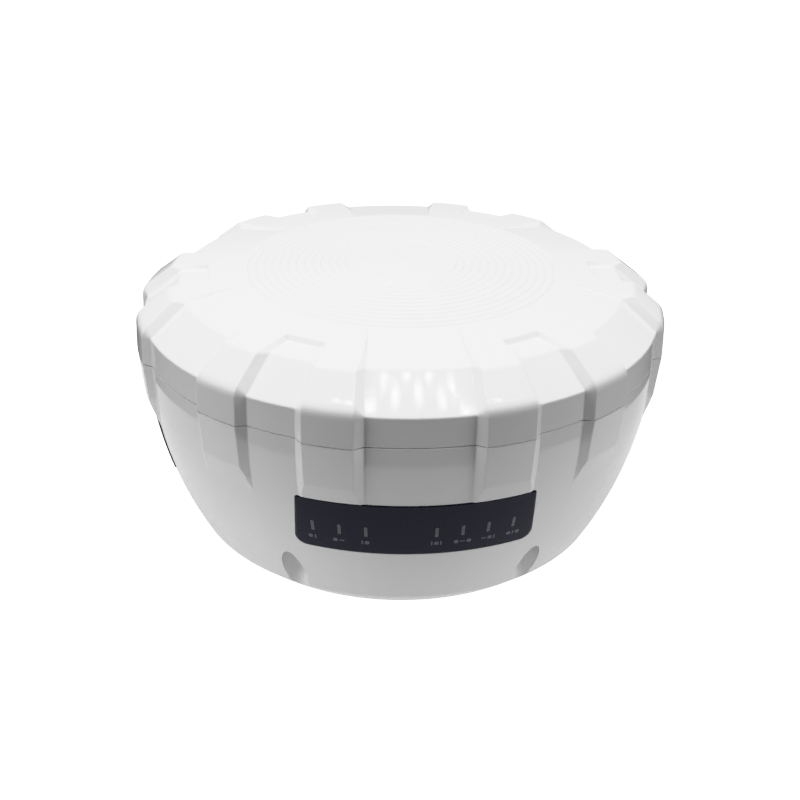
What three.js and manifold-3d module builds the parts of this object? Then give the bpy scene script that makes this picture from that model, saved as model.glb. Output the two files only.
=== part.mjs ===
// A round GNSS receiver: a lugged white radome on a bowl-shaped housing, with an LED panel in front,
// a battery door at the left rear, a key panel with a port door at the right rear, and a pole thread below.
// Millimetres, +Z up, the LED panel faces -Y. The origin is the centre of the face that it stands on.
// An azimuth is counted from the front (-Y) towards +X, in degrees.
import * as THREE from "three";
import { mergeVertices } from "three/addons/utils/BufferGeometryUtils.js";
import Module from "manifold-3d";

const wasm = await Module();
wasm.setup();

// ---------------------------------------------------------------- driving dimensions
const GAP = 0.3; // between pieces that rest against each other
const SEAM_Z = 75; // parting line between cover and housing
const LUG_R = 97.5; // over the lugs, at the parting line
const WALL_R = 94.8; // between the lugs, at the parting line
const SKIN = 3.5; // wall of both shells
const DOME_TOP = 102.5;
const DOME_R = 658; // the top is a shallow sphere
const BOWL_ARC = 142; // the bowl's side is an arc of this radius, upright at the parting line
const BOWL_FOOT_Z = 6.6; // where the arc ends and the foot bevel starts
const FOOT_R = 69.2;
const SECTOR = 60; // the lugs and recesses repeat at this pitch: one wide and one narrow recess in each

const PANEL_Z = [31.6, 52.8]; // the band of the three dark panels
const PANEL_CORNER = 4;
const PANEL_PROUD = 0.35;
const PANEL_DEPTH = 1.2; // how far a panel is let into the housing
const FRONT_HALF_WIDTH = 39.8;
const REAR_HALF_WIDTH = 67.5;
const REAR_AZIMUTH = 120; // of the battery panel (minus) and of the key panel (plus)

const LED_Z = 41.4;
const LED_X = [-34.2, -25.5, -16.8, 6.5, 15.3, 24, 32.7];
const LED_SIZE = [1.3, 4.4];
const LED_GAP = 0.1;

const SCREW_PITCH_R = 81; // case screws, one under each narrow recess
const SCREW_POCKET_R = 4.5;
const SCREW_SEAT_Z = 61; // the head bears here, at the top of its pocket
const SCREW_HOLE_R = 2;
const SCREW_HOLE_TOP = 87;
const TUBE_R = 6.5; // round a screw's pocket, inside the housing
const BOSS = { r: 5, top: 92 }; // takes a case screw, inside the cover

const DOOR_Z = [34.8, 51.4];
const DOOR_CORNER = 2;
const DOORS = { battery: { azimuth: -REAR_AZIMUTH, half: 31 }, port: { azimuth: 134, half: 15 } };
const BAYS = { battery: { back: 16 }, port: { back: 72 } }; // how near the axis each bay behind a door ends
const BAY_WALL = 1.4;
const MOUTH = { inset: 3.7, z: [37.9, 48.5] }; // of a bay, in from its door's edges
const SEAL = { inset: [1.1, 2.9], z: [[35.9, 50.5], [37.3, 49.1]], depth: [-2.4, -1.35] };
const HINGE_Z = 33.4;
const HINGE_R = 1.2;
const HINGE_GROOVE_R = 1.8;
const HINGE_HALF = 8.4;
const PIN_R = 0.6;
const PIN_HALF = 10;
const LATCH_Z = 46.4;
const LATCH = { recess: 7, x: [-6.6, 2.4], half: 1.5, sink: 0.9 }; // half is half its height

const KEYS = { power_key: 101, function_key: 113 }; // azimuths on the key panel
const KEY_R = 4.5;
const KEY_Z = 42.2;
const KEY_WELL = 2.7; // depth of the recess that a key sinks into
const KEY_STEM_R = 1.5;

const THREAD_R = 7; // bore of the 5/8 inch pole thread
const THREAD_DEPTH = 21;
const INSERT_R = 13;
const PLATE_R = 36;
const PLATE_T = 4;
const FLOOR_Z = 8.3; // inner floor round the pole insert
const PLATE_SCREWS = { pitch: 27, azimuths: [45, 135, 225, 315] };
const PLATE_HOLE_R = 1.9;
const PLATE_SINK = { r: 3.4, depth: 2.4 }; // where a plate screw's head lies
const SOCKETS = { data_port: 150, radio_port: -150 }; // azimuths
const SOCKET_PITCH_R = 51;
const SOCKET_WELL = [8.5, 11]; // radius and depth of the well each socket stands in
const SOCKET_WELL_WALL = 2.5;
const SOCKET_TAIL_R = 3; // of a socket, through the floor of its well
const CAP = { r: 7.6, innerR: 6.1, z: [1.2, 9.4], top: 2.7 }; // pulls off downwards

const BOARD_Z = 62;
const BOARD_R = 70;
const BOARD_T = 1.6;
const PLANE = { r: 71, z: [80, 81.5] }; // antenna ground plane
const ELEMENT = { r: 38, z: [81.8, 90] };
const POSTS = { pitch: 60, azimuths: [0, 60, 180, 300] };
const STUD_R = 4; // moulded stud under each spacer
const STUD_HOLE_R = 1.3;

// ---------------------------------------------------------------- colours
const white = { color: 0xf2f2f2, roughness: 0.25, metalness: 0 };
const navy = { color: 0x1d2133, roughness: 0.35, metalness: 0 };
const lens = { color: 0x8f8f98, roughness: 0.3, metalness: 0 };
const rubber = { color: 0x202022, roughness: 0.85, metalness: 0 };
const steel = { color: 0xb9bcc0, roughness: 0.35, metalness: 1 };
const alloy = { color: 0xa9adb2, roughness: 0.45, metalness: 1 };
const brass = { color: 0xc8a24a, roughness: 0.35, metalness: 1 };
const black = { color: 0x1b1b1d, roughness: 0.6, metalness: 0 };
const board = { color: 0x1f5a38, roughness: 0.5, metalness: 0 };
const ceramic = { color: 0xd8d2c4, roughness: 0.6, metalness: 0 };
const gold = { color: 0xd9b45a, roughness: 0.3, metalness: 1 };

// ---------------------------------------------------------------- solids
const rad = THREE.MathUtils.degToRad;
const root = new THREE.Group();

// A three.js geometry as a manifold solid.
function solid(geometry) {
  const plain = geometry.index ? geometry.toNonIndexed() : geometry.clone();
  plain.deleteAttribute("normal");
  plain.deleteAttribute("uv");
  const merged = mergeVertices(plain, 1e-4);
  const index = merged.index.array;
  const faces = [];
  for (let i = 0; i < index.length; i += 3) {
    const [a, b, c] = [index[i], index[i + 1], index[i + 2]];
    if (a !== b && b !== c && c !== a) faces.push(a, b, c);
  }
  return new wasm.Manifold(new wasm.Mesh({
    numProp: 3,
    vertProperties: new Float32Array(merged.attributes.position.array),
    triVerts: new Uint32Array(faces),
  }));
}

function cut(body, ...tools) {
  return tools.flat().reduce((left, tool) => left.subtract(tool), body);
}

function join(body, ...others) {
  return others.flat().reduce((whole, other) => whole.add(other), body);
}

// Adds a named sub-part, turned to its azimuth about the vertical axis.
function add(name, shape, look, azimuth = 0) {
  const mesh = shape.getMesh();
  const geometry = new THREE.BufferGeometry();
  geometry.setAttribute("position", new THREE.BufferAttribute(mesh.vertProperties, mesh.numProp));
  geometry.setIndex(new THREE.BufferAttribute(mesh.triVerts, 1));
  const part = new THREE.Mesh(geometry, new THREE.MeshStandardMaterial(look));
  part.name = name;
  part.rotation.z = rad(azimuth);
  root.add(part);
}

// A box by its lowest and highest corner.
function box([x0, y0, z0], [x1, y1, z1]) {
  const shape = new THREE.BoxGeometry(x1 - x0, y1 - y0, z1 - z0);
  return solid(shape.translate((x0 + x1) / 2, (y0 + y1) / 2, (z0 + z1) / 2));
}

// An upright cylinder, at a pitch radius and an azimuth.
function post(radius, z0, z1, pitch = 0, azimuth = 0, sides = 16) {
  const shape = new THREE.CylinderGeometry(radius, radius, z1 - z0, sides).rotateX(Math.PI / 2);
  return solid(shape.translate(0, -pitch, (z0 + z1) / 2).rotateZ(rad(azimuth)));
}

// A cylinder along X at a distance in front of the axis.
function barrel(radius, x0, x1, front, z, sides = 12) {
  const shape = new THREE.CylinderGeometry(radius, radius, x1 - x0, sides).rotateZ(Math.PI / 2);
  return solid(shape.translate((x0 + x1) / 2, -front, z));
}

// A cylinder along the radius, between two distances from the axis.
function spoke(radius, r0, r1, z, azimuth, sides = 20) {
  const shape = new THREE.CylinderGeometry(radius, radius, r1 - r0, sides);
  return solid(shape.translate(0, -(r0 + r1) / 2, z).rotateZ(rad(azimuth)));
}

// A closed profile of [radius, z] points, turned about the vertical axis.
function turned(profile, segments = 36) {
  const points = profile.map(([r, z]) => new THREE.Vector2(r, z));
  if (THREE.ShapeUtils.area(points) < 0) points.reverse();
  if (points[0].x > 0) points.push(points[0].clone());
  return solid(new THREE.LatheGeometry(points, segments).rotateX(Math.PI / 2));
}

// A rectangle in X and Z with rounded lower corners, run along -Y.
function prism(half, z0, z1, corner, r0 = 40, r1 = 110) {
  const outline = new THREE.Shape();
  outline.moveTo(half, z1);
  outline.lineTo(-half, z1);
  outline.lineTo(-half, z0 + corner);
  if (corner > 0) outline.absarc(-half + corner, z0 + corner, corner, Math.PI, 1.5 * Math.PI);
  outline.lineTo(half - corner, z0);
  if (corner > 0) outline.absarc(half - corner, z0 + corner, corner, -Math.PI / 2, 0);
  const run = { depth: r1 - r0, bevelEnabled: false, curveSegments: 3 };
  const shape = new THREE.ExtrudeGeometry(outline, run);
  return solid(shape.rotateX(Math.PI / 2).translate(0, -r0, 0));
}

// ---------------------------------------------------------------- outer form
const dome = (r) => DOME_TOP - DOME_R + Math.sqrt(DOME_R ** 2 - r ** 2);
const bowl = (z) => WALL_R - BOWL_ARC + Math.sqrt(BOWL_ARC ** 2 - (SEAM_Z - z) ** 2);

// One row of the outer skin: where it runs over the lugs, over a wide recess and over a narrow one, each as
// [radius, z], and the half-angles of the recesses at their floor and where their flanks meet the lugs.
const RIM_EDGES = { wide: [10.84, 12.66], narrow: [5.42, 7.25] };
function row(lug, wide = lug, narrow = wide, edges = RIM_EDGES) {
  return { lug, wide, narrow, edges };
}

const COVER_ROWS = [
  row([0, dome(0)]),
  row([30, dome(30)]),
  row([60, dome(60)], undefined, undefined, { wide: [14.2, 14.6], narrow: [5.2, 6.2] }),
  row([70.5, dome(70.5)], [70.5, 97.9], [70.5, dome(70.5)], { wide: [13.1, 14.4], narrow: [5.2, 6.2] }),
  row([71.8, dome(71.8)], [71.8, 97.7], [71.8, 97], { wide: [13, 14.3], narrow: [5.3, 6.3] }),
  row([85.35, 97], [81.24, 96.27], [81.24, 96.27], { wide: [12, 13.9], narrow: [5.42, 7.25] }),
  row([95, 89.4], [94.2, 86.1]),
  row([96.5, 87.5], [94.65, 85.7]),
  row([97.15, 84.9], [94.72, 85.2]),
  row([LUG_R, SEAM_Z + 0.2], [WALL_R, SEAM_Z + 0.2]),
  row([0, SEAM_Z + 0.2]),
];

const HOUSING_ROWS = [
  row([0, SEAM_Z - 0.1]),
  row([LUG_R, SEAM_Z - 0.1], [WALL_R, SEAM_Z - 0.1]),
  row([95.9, 59.4], [bowl(59.4), 59.4]),
  row([bowl(50), 50], undefined, undefined, { wide: [10.84, 11.4], narrow: [5.42, 6] }),
  ...[40, 28, 16, BOWL_FOOT_Z].map((z) => row([bowl(z), z])),
  row([FOOT_R + 0.4, 0.3]),
  row([FOOT_R, 0]),
  row([0, 0]),
];

// The columns from the middle of a wide recess to the middle of the next narrow one, then mirrored.
const HALF = SECTOR / 2;
const COLUMNS = [
  ["wide", () => 0],
  ["wide", (e) => e.wide[0] / 2],
  ["wide", (e) => e.wide[0]],
  ["lug", (e) => e.wide[1]],
  ["lug", (e) => (e.wide[1] + HALF - e.narrow[1]) / 2],
  ["lug", (e) => HALF - e.narrow[1]],
  ["narrow", (e) => HALF - e.narrow[0]],
  ["narrow", () => HALF],
];

// A solid of revolution whose rows follow the lugs and recesses.
function lugged(rows) {
  const mirrored = COLUMNS.slice(1, -1).reverse().map(([kind, at]) => [kind, (e) => SECTOR - at(e)]);
  const sector = [...COLUMNS, ...mirrored];
  const columns = sector.length * (360 / SECTOR);
  const profile = rows.map(({ lug }) => new THREE.Vector2(...lug));
  const shape = new THREE.LatheGeometry(profile, columns);
  const position = shape.attributes.position;
  for (let i = 0; i <= columns; i++) {
    const [kind, at] = sector[i % sector.length];
    const turn = Math.floor((i % columns) / sector.length) * SECTOR;
    rows.forEach((each, j) => {
      const [r, z] = each[kind];
      const azimuth = rad(turn + at(each.edges));
      position.setXYZ(i * rows.length + j, r * Math.sin(azimuth), -r * Math.cos(azimuth), z);
    });
  }
  const made = solid(shape);
  if (made.volume() > 0) return made;
  const index = shape.index.array;
  for (let i = 0; i < index.length; i += 3) [index[i], index[i + 1]] = [index[i + 1], index[i]];
  return solid(shape);
}

// ---------------------------------------------------------------- shells
const RIM_INNER_R = WALL_R - SKIN - 0.5;
const RIM_SEAL = { r: [91.9, 93.3], z: [73.6, SEAM_Z] };
const RIM_SEGMENTS = 60;
const SCREW_AZIMUTHS = Array.from({ length: 6 }, (_, i) => HALF + i * SECTOR);

function rectangle(r0, r1, z0, z1) {
  return [[r0, z0], [r1, z0], [r1, z1], [r0, z1]];
}

function upperCover() {
  const bosses = SCREW_AZIMUTHS.map((azimuth) =>
    post(BOSS.r, SEAM_Z + 0.2, BOSS.top, SCREW_PITCH_R, azimuth));
  const holes = SCREW_AZIMUTHS.map((azimuth) =>
    post(SCREW_HOLE_R, SEAM_Z - 5, SCREW_HOLE_TOP, SCREW_PITCH_R, azimuth, 12));
  const space = turned([
    [0, SEAM_Z - 1],
    [RIM_INNER_R, SEAM_Z - 1],
    [RIM_INNER_R, 83.4],
    [79, 92.8],
    [50, 97],
    [0, DOME_TOP - SKIN],
  ]);
  return cut(join(cut(lugged(COVER_ROWS), space), bosses), holes);
}

// A profile that follows the bowl between two heights and two distances from its surface.
function band(z0, z1, inner, outer) {
  const heights = [0, 0.5, 1].map((t) => z0 + (z1 - z0) * t);
  const face = heights.map((z) => [bowl(z) + outer, z]);
  const back = heights.map((z) => [bowl(z) + inner, z]);
  return [...face, ...back.reverse()];
}

// A piece of the bowl's skin, between two distances from its surface, with the outline of a prism.
function patch(half, [z0, z1], corner, [inner, outer]) {
  return turned(band(z0, z1, inner, outer), 72).intersect(prism(half, z0, z1, corner));
}

const turnTo = (azimuth, ...shapes) => shapes.map((shape) => shape.rotate([0, 0, azimuth]));
const panelSeat = (half) =>
  patch(half + GAP, [PANEL_Z[0] - GAP, PANEL_Z[1] + GAP], PANEL_CORNER, [-PANEL_DEPTH - GAP, 20]);
const doorHole = (half) =>
  patch(half + GAP, [DOOR_Z[0] - GAP, DOOR_Z[1] + GAP], DOOR_CORNER, [-PANEL_DEPTH - 1, 20]);

// The ring of a door's seal, or with room round it the groove that it lies in.
function sealRing(half, room = 0) {
  const [outset, inset] = SEAL.inset;
  const [outerZ, innerZ] = SEAL.z;
  const depth = [SEAL.depth[0] - room, SEAL.depth[1] + 2 * room];
  const whole = patch(half - outset + room, [outerZ[0] - room, outerZ[1] + room], DOOR_CORNER, depth);
  const middle = prism(half - inset - room, innerZ[0] + room, innerZ[1] - room, 1);
  return cut(whole, middle);
}

const hingeFront = bowl(HINGE_Z) + PANEL_PROUD - HINGE_R;
const hingeBarrel = (radius, half, sides) => barrel(radius, -half, half, hingeFront, HINGE_Z, sides);

// The space for a door's hinge and its pin.
function hingeSpace() {
  const notch = box([-HINGE_HALF - GAP, -100, PANEL_Z[0] - 1], [HINGE_HALF + GAP, -hingeFront, DOOR_Z[0]]);
  const pin = hingeBarrel(PIN_R + 0.15, PIN_HALF + GAP);
  return join(hingeBarrel(HINGE_GROOVE_R, HINGE_HALF + GAP), notch.intersect(panelSeat(50)), pin);
}

const bayInside = (half, back) => box(
  [-half + MOUTH.inset, -110, MOUTH.z[0]],
  [half - MOUTH.inset, -back, MOUTH.z[1]],
);
const bayOutside = (half, back) => box(
  [-half + MOUTH.inset - BAY_WALL, -110, MOUTH.z[0] - BAY_WALL],
  [half - MOUTH.inset + BAY_WALL, -back + BAY_WALL, MOUTH.z[1] + BAY_WALL],
);

function keyWell(azimuth) {
  const face = bowl(KEY_Z);
  return join(
    spoke(KEY_R + GAP, face - KEY_WELL, 100, KEY_Z, azimuth),
    spoke(KEY_STEM_R + GAP, 80, 100, KEY_Z, azimuth, 12),
  );
}

function ledBox([width, height], r0, r1, x) {
  const shape = new THREE.BoxGeometry(width, r1 - r0, height);
  return solid(shape.translate(0, -(r0 + r1) / 2, LED_Z).rotateZ(Math.asin(x / bowl(LED_Z))));
}

const ledHoles = LED_X.map((x) => ledBox(LED_SIZE.map((length) => length + 2 * LED_GAP), 80, 100, x));

function lowerHousing() {
  const wall = [FLOOR_Z, 24, 44, 62].map((z) => [bowl(z) - SKIN, z]);
  const space = turned([
    [0, FLOOR_Z],
    [PLATE_R + 4, FLOOR_Z],
    [PLATE_R + 6, SKIN],
    [68, SKIN],
    ...wall,
    [RIM_INNER_R, 68],
    [RIM_INNER_R, SEAM_Z + 1],
    [0, SEAM_Z + 1],
  ]);
  const shell = cut(
    lugged(HOUSING_ROWS),
    space,
    post(PLATE_R + GAP, -1, PLATE_T + GAP, 0, 0, 36),
    post(INSERT_R + GAP, -1, FLOOR_Z + 1, 0, 0, 24),
  );
  // Everything that stands inside is trimmed to the middle of the wall.
  const middle = [BOWL_FOOT_Z, 20, 34, 48, 62].map((z) => [bowl(z) - 1.6, z]);
  const plug = turned([[0, 1], [70, 1], ...middle, [RIM_INNER_R + 1, SEAM_Z - 0.1], [0, SEAM_Z - 0.1]]);
  const [wellR, wellDepth] = SOCKET_WELL;
  const tubes = SCREW_AZIMUTHS.map((azimuth) => post(TUBE_R, 2, SEAM_Z - 0.1, SCREW_PITCH_R, azimuth, 16));
  const studs = POSTS.azimuths.map((azimuth) => post(STUD_R, 2, BOARD_Z - GAP, POSTS.pitch, azimuth, 12));
  const wells = Object.values(SOCKETS).map((azimuth) =>
    post(wellR + SOCKET_WELL_WALL, 1.5, wellDepth + 3, SOCKET_PITCH_R, azimuth));
  const bays = Object.entries(DOORS).map(([name, { azimuth, half }]) =>
    bayOutside(half, BAYS[name].back).rotate([0, 0, azimuth]));
  const body = join(shell, join(tubes[0], tubes.slice(1), studs, wells, bays).intersect(plug));

  const [sealInner, sealOuter] = RIM_SEAL.r;
  const cuts = [
    turned(rectangle(sealInner - GAP, sealOuter + GAP, RIM_SEAL.z[0] - GAP, SEAM_Z + 1), RIM_SEGMENTS),
    ...SCREW_AZIMUTHS.map((azimuth) => post(SCREW_POCKET_R, -5, SCREW_SEAT_Z, SCREW_PITCH_R, azimuth)),
    ...SCREW_AZIMUTHS.map((azimuth) => post(SCREW_HOLE_R, 50, 80, SCREW_PITCH_R, azimuth, 12)),
    ...POSTS.azimuths.map((azimuth) => post(STUD_HOLE_R, 50, 70, POSTS.pitch, azimuth, 12)),
    ...PLATE_SCREWS.azimuths.map((azimuth) => post(PLATE_HOLE_R, 0, 20, PLATE_SCREWS.pitch, azimuth, 12)),
    ...Object.values(SOCKETS).flatMap((azimuth) => [
      post(wellR, -1, wellDepth, SOCKET_PITCH_R, azimuth),
      post(SOCKET_TAIL_R + GAP, 5, 20, SOCKET_PITCH_R, azimuth, 16),
    ]),
    panelSeat(FRONT_HALF_WIDTH),
    ...turnTo(-REAR_AZIMUTH, panelSeat(REAR_HALF_WIDTH)),
    ...turnTo(REAR_AZIMUTH, panelSeat(REAR_HALF_WIDTH)),
    ...ledHoles,
    ...Object.values(KEYS).map(keyWell),
  ];
  for (const [name, { azimuth, half }] of Object.entries(DOORS)) {
    cuts.push(...turnTo(azimuth, sealRing(half, GAP), hingeSpace(), bayInside(half, BAYS[name].back)));
  }
  return cut(body, cuts);
}

add("upper_cover", upperCover(), white);
add("lower_housing", lowerHousing(), white);
add("rim_seal", turned(rectangle(...RIM_SEAL.r, ...RIM_SEAL.z), RIM_SEGMENTS), rubber);

// ---------------------------------------------------------------- panels
const panel = (half) => patch(half, PANEL_Z, PANEL_CORNER, [-PANEL_DEPTH, PANEL_PROUD]);
const doorSpaces = ({ azimuth, half }) => turnTo(azimuth, doorHole(half), hingeSpace());

add("front_panel", cut(panel(FRONT_HALF_WIDTH), ledHoles), navy);
LED_X.forEach((x, i) => {
  add(`led_window_${i + 1}`, ledBox(LED_SIZE, 86, bowl(LED_Z) + PANEL_PROUD, x), lens);
});
const [batteryPanel] = turnTo(-REAR_AZIMUTH, panel(REAR_HALF_WIDTH));
add("battery_panel", cut(batteryPanel, doorSpaces(DOORS.battery)), navy);
const [keyPanel] = turnTo(REAR_AZIMUTH, panel(REAR_HALF_WIDTH));
add("key_panel", cut(keyPanel, doorSpaces(DOORS.port), Object.values(KEYS).map(keyWell)), navy);

// ---------------------------------------------------------------- doors
// A door with its hinge knuckle and the hole of the pin.
function door(half) {
  const leaf = patch(half, DOOR_Z, DOOR_CORNER, [-PANEL_DEPTH, PANEL_PROUD]);
  const web = box(
    [-HINGE_HALF, -hingeFront - 1, HINGE_Z],
    [HINGE_HALF, -hingeFront - 0.1, HINGE_Z + 1.7],
  );
  return cut(join(leaf, web, hingeBarrel(HINGE_R, HINGE_HALF)), hingeBarrel(PIN_R + 0.15, HINGE_HALF + 1));
}

const latchFloor = bowl(LATCH_Z) + PANEL_PROUD - LATCH.sink;
const latchRecess = box(
  [-LATCH.recess, -110, LATCH_Z - LATCH.half - 0.4],
  [LATCH.recess, -latchFloor, LATCH_Z + LATCH.half + 0.4],
);
const latch = box(
  [LATCH.x[0], -latchFloor - 1.6, LATCH_Z - LATCH.half],
  [LATCH.x[1], -latchFloor - 0.2, LATCH_Z + LATCH.half],
);
const thumbNotch = spoke(5, bowl(LATCH_Z) - 0.2, 110, DOOR_Z[1] + 1.5, 0);

add("battery_door", cut(door(DOORS.battery.half), latchRecess), navy, DOORS.battery.azimuth);
add("battery_door_latch", latch, black, DOORS.battery.azimuth);
add("port_door", cut(door(DOORS.port.half), thumbNotch), navy, DOORS.port.azimuth);
for (const [name, { azimuth, half }] of Object.entries(DOORS)) {
  add(`${name}_door_pin`, hingeBarrel(PIN_R, PIN_HALF), steel, azimuth);
  add(`${name}_door_seal`, sealRing(half), rubber, azimuth);
}

// ---------------------------------------------------------------- behind the doors
const batteryHalf = DOORS.battery.half - MOUTH.inset - 0.4;
const batteryEnds = [BAYS.battery.back + 2.5, 82];
const battery = box(
  [-batteryHalf, -batteryEnds[1], MOUTH.z[0] + 0.4],
  [batteryHalf, -batteryEnds[0], MOUTH.z[1] - 0.4],
);
const contacts = box([-12, -batteryEnds[0] + GAP, 40], [12, -BAYS.battery.back - GAP, 46]);
add("battery_pack", battery, black, DOORS.battery.azimuth);
add("battery_contacts", contacts, gold, DOORS.battery.azimuth);

const cardSlot = cut(box([-7.5, -83, 43.4], [7.5, -72.3, 46.4]), box([-6.3, -90, 44.3], [6.3, -74, 45.3]));
const usbPort = cut(box([-4.5, -83, 39], [4.5, -72.3, 42.2]), box([-3.9, -90, 39.6], [3.9, -75, 41.6]));
add("card_slot", cardSlot, steel, DOORS.port.azimuth);
add("usb_port", usbPort, steel, DOORS.port.azimuth);

// ---------------------------------------------------------------- keys
for (const [name, azimuth] of Object.entries(KEYS)) {
  const face = bowl(KEY_Z) + PANEL_PROUD;
  const cap = spoke(KEY_R, face - 1.5, face + 0.7, KEY_Z, azimuth);
  add(name, join(cap, spoke(KEY_STEM_R, face - 6, face - 1, KEY_Z, azimuth, 12)), rubber);
}

// ---------------------------------------------------------------- underside
const plateHoles = PLATE_SCREWS.azimuths.flatMap((azimuth) => [
  post(PLATE_HOLE_R, -1, PLATE_T + 1, PLATE_SCREWS.pitch, azimuth, 12),
  post(PLATE_SINK.r, -1, PLATE_SINK.depth, PLATE_SCREWS.pitch, azimuth),
]);
add("base_plate", cut(turned(rectangle(INSERT_R + GAP, PLATE_R, 0, PLATE_T)), plateHoles), alloy);
add("pole_insert", turned([
  [THREAD_R, 0],
  [INSERT_R, 0],
  [INSERT_R, FLOOR_Z + GAP],
  [INSERT_R + 5, FLOOR_Z + GAP],
  [INSERT_R + 5, FLOOR_Z + 3],
  [INSERT_R - 3, FLOOR_Z + 3],
  [INSERT_R - 3, THREAD_DEPTH + 3],
  [0, THREAD_DEPTH + 3],
  [0, THREAD_DEPTH],
  [THREAD_R, THREAD_DEPTH],
], 24), brass);

// A screw from below: head and shank, standing on the Z axis.
function screw(headR, shankR, seat, headT, top) {
  return turned([
    [0, seat - headT],
    [headR, seat - headT],
    [headR, seat],
    [shankR, seat],
    [shankR, top],
    [0, top],
  ], 12);
}

const plateScrew = screw(PLATE_SINK.r - GAP, PLATE_HOLE_R - GAP, PLATE_SINK.depth - GAP, 1.8, 8);
PLATE_SCREWS.azimuths.forEach((azimuth, i) => {
  add(`plate_screw_${i + 1}`, plateScrew.translate([0, -PLATE_SCREWS.pitch, 0]), steel, azimuth);
});
const caseScrew = cut(
  screw(3.6, SCREW_HOLE_R - GAP, SCREW_SEAT_Z - GAP, 3, SCREW_HOLE_TOP - 1),
  solid(new THREE.CylinderGeometry(1.6, 1.6, 3, 6).rotateX(Math.PI / 2).translate(0, 0, SCREW_SEAT_Z - 3)),
);
SCREW_AZIMUTHS.forEach((azimuth, i) => {
  add(`case_screw_${i + 1}`, caseScrew.translate([0, -SCREW_PITCH_R, 0]), steel, azimuth);
});

// The shell of each socket, its core, and the cap that pulls off downwards.
const SOCKET_PROFILES = {
  data_port: [[0, 5], [3, 5], [3, 8.6], [4.7, 8.6], [4.7, 3], [5.8, 3]],
  radio_port: [[0, 3.8], [0.8, 3.8], [0.8, 8.6], [4.4, 8.6], [4.4, 3], [5.8, 3]],
};
for (const [name, azimuth] of Object.entries(SOCKETS)) {
  const [, depth] = SOCKET_WELL;
  const look = name === "data_port" ? steel : brass;
  const tail = [[SOCKET_TAIL_R, depth - GAP], [SOCKET_TAIL_R, 17], [0, 17]];
  const profile = [...SOCKET_PROFILES[name], [5.8, depth - GAP], ...tail];
  const [bottom, rim] = CAP.z;
  const cup = [
    [0, bottom],
    [CAP.r, bottom],
    [CAP.r, rim],
    [CAP.innerR, rim],
    [CAP.innerR, CAP.top],
    [0, CAP.top],
  ];
  add(name, turned(profile, 16).translate([0, -SOCKET_PITCH_R, 0]), look, azimuth);
  add(`${name}_cap`, turned(cup, 20).translate([0, -SOCKET_PITCH_R, 0]), rubber, azimuth);
}

// ---------------------------------------------------------------- inside
const boardTop = BOARD_Z + BOARD_T;
const disc = (radius, z0, z1) => turned([[0, z0], [radius, z0], [radius, z1], [0, z1]]);
const boardHoles = POSTS.azimuths.map((azimuth) =>
  post(STUD_HOLE_R + GAP, 50, 70, POSTS.pitch, azimuth, 12));
add("main_board", cut(disc(BOARD_R, BOARD_Z, boardTop), boardHoles), board);
add("gnss_module", box([-30, -22, boardTop + GAP], [18, 22, boardTop + 5]), steel);
add("radio_module", box([24, -18, boardTop + GAP], [50, 18, boardTop + 6]), steel);
add("led_flex", patch(36, [36, 46.5], 1, [-6.4, -5.4]), gold);

// The spacers that screw down the board and carry the ground plane.
const spacer = turned([
  [0, 52],
  [1, 52],
  [1, boardTop + GAP],
  [3, boardTop + GAP],
  [3, PLANE.z[0] - GAP],
  [0, PLANE.z[0] - GAP],
], 12);
POSTS.azimuths.forEach((azimuth, i) => {
  add(`antenna_spacer_${i + 1}`, spacer.translate([0, -POSTS.pitch, 0]), brass, azimuth);
});
add("ground_plane", disc(PLANE.r, ...PLANE.z), alloy);
add("antenna_element", disc(ELEMENT.r, ...ELEMENT.z), ceramic);

export default root;
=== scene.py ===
"""The looks of a round GNSS receiver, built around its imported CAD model.

The shells, the panels with all that is set in them, the battery, and the pieces of the underside are rebuilt
here as fine meshes from the same dimensions as the CAD part. The seals, the hinge pins, the case screws and
everything else inside keep their CAD meshes. Every piece has a procedural material.
Lengths named below are in millimetres, and an azimuth is counted from the front (-Y) towards +X in degrees.
"""

import math

import bmesh
import bpy
import numpy as np
from mathutils import Matrix, Vector


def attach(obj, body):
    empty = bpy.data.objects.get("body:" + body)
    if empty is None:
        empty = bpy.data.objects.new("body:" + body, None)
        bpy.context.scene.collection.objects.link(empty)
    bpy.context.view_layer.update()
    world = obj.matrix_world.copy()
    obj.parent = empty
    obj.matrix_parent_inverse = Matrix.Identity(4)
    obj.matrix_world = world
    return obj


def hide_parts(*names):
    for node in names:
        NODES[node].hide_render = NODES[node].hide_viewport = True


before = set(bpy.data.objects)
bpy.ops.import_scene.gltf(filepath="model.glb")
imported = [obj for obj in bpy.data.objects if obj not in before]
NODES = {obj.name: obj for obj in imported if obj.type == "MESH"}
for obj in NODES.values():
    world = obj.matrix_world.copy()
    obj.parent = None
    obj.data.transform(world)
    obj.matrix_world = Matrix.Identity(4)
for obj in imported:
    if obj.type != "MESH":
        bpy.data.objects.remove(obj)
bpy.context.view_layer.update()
MM = 0.001

# ------------------------------------------------------------------ dimensions, as in the CAD part
SEAM_Z = 75
COVER_Z = SEAM_Z + 0.2  # underside of the cover
HOUSING_Z = SEAM_Z - 0.1  # top of the housing
LUG_R = 97.5
WALL_R = 94.8
DOME_TOP = 102.5
DOME_R = 658
BOWL_ARC = 142
BOWL_FOOT_Z = 6.6
FOOT_R = 69.2
HALF_SECTOR = 30

# ------------------------------------------------------------------ the camera
LENS = 62.12
SENSOR = 36
VIEW_AZIMUTH = -4.32
VIEW_ELEVATION = 23.57
VIEW_DISTANCE = 520.3  # from the middle of the parting plane
VIEW_TILT = -2.96
VIEW_PAN = 0.05
VIEW_ROLL = -1.03


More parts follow.
